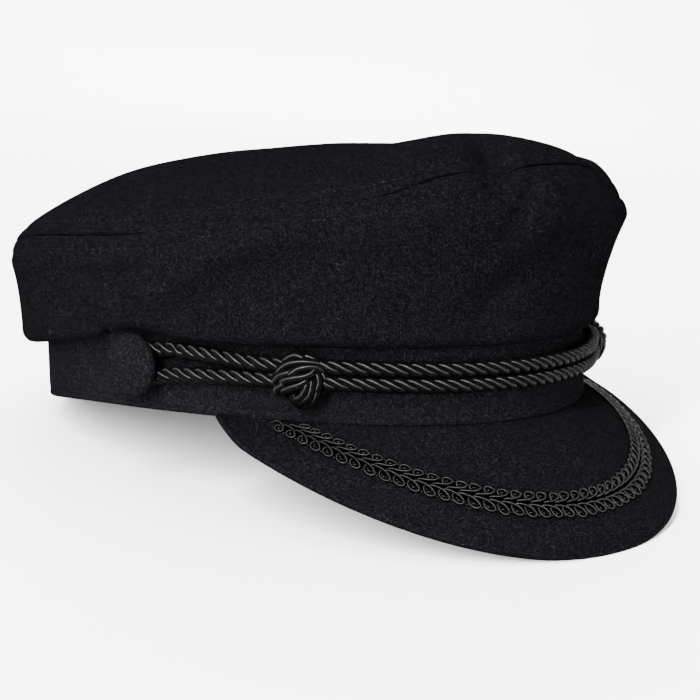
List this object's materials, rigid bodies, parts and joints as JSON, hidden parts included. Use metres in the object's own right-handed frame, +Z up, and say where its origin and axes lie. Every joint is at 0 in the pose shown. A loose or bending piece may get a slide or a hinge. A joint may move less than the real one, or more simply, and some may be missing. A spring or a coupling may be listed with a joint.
{
  "type": "breton fisherman cap",
  "caption": "Soft-crowned fisherman cap with an upright band, a stiff sloping peak edged with looped braid, and a knotted twisted cord held by covered buttons.",
  "frame": {"origin": "centre of the bounding box in plan, on the surface that the cap rests on", "axes": "-Y is the front with the peak, +X the wearer's left, +Z up from the surface; the head axis leans by the rest pitch"},
  "size_m": [0.1974, 0.2632, 0.1156],
  "materials": {
    "wool": "fulled wool, matt, with fine loose fibres",
    "satin_cord": "twisted satin cord, glossy strands",
    "gimp_braid": "looped gimp braid, soft sheen"
  },
  "bodies": {
    "root": {"crown_tip": "wool", "crown_side": "wool", "band": "wool", "peak": "wool", "peak_braid": "gimp_braid", "cord_loop": "satin_cord", "knot_right": "satin_cord", "knot_left": "satin_cord", "button_right": "wool", "button_left": "wool"}
  },
  "joints": []
}
